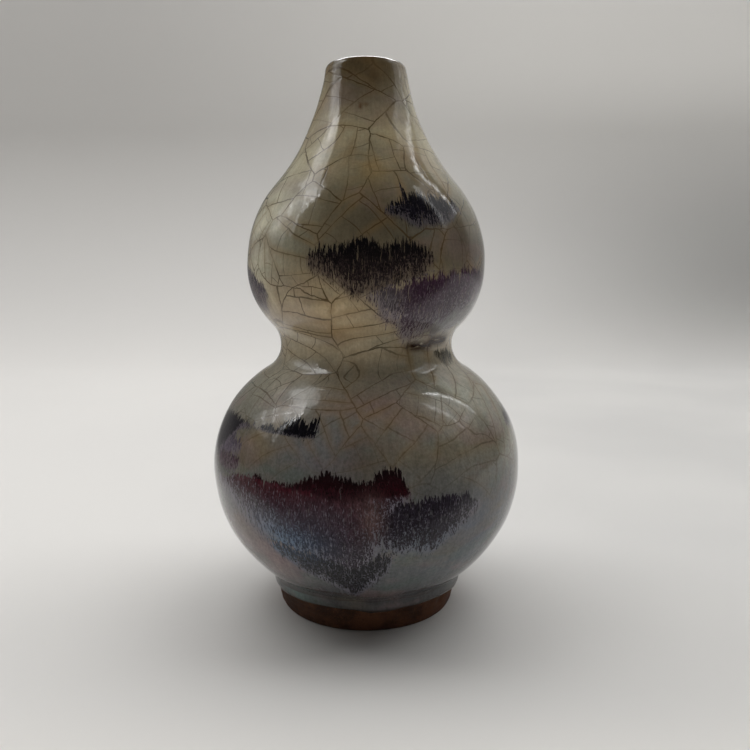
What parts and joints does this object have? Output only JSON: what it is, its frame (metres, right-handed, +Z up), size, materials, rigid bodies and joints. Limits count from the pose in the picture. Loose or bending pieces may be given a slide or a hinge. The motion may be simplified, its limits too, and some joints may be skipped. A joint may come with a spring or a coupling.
{
  "type": "double gourd vase",
  "caption": "Stoneware vase of two stacked gourd bulbs with a narrow neck and a bare clay foot ring, under a thick crackled glaze with dark kiln-change splashes.",
  "frame": {"origin": "centre of the foot's tread, on the surface that the vase stands on", "axes": "+Z up along the throwing axis; -Y faces the viewer of the picture, +X to the viewer's right"},
  "size_m": [0.1046, 0.1046, 0.18],
  "materials": {
    "stoneware": "bare fired reddish-brown clay, fine grain, unglazed",
    "slip": "fired joining slip, matt",
    "crackle_glaze": "thick glossy olive-grey crackled glaze with navy, plum and oxblood streaked splashes",
    "liner_glaze": "thin glossy olive-brown glaze",
    "base_glaze": "thin brushed olive-brown glaze"
  },
  "bodies": {
    "root": {"upper_bulb": "stoneware", "lower_bulb": "stoneware", "waist_slip": "slip", "foot_ring": "stoneware", "foot_slip": "slip", "outer_glaze": "crackle_glaze", "liner_glaze": "liner_glaze", "base_glaze": "base_glaze"}
  },
  "joints": []
}
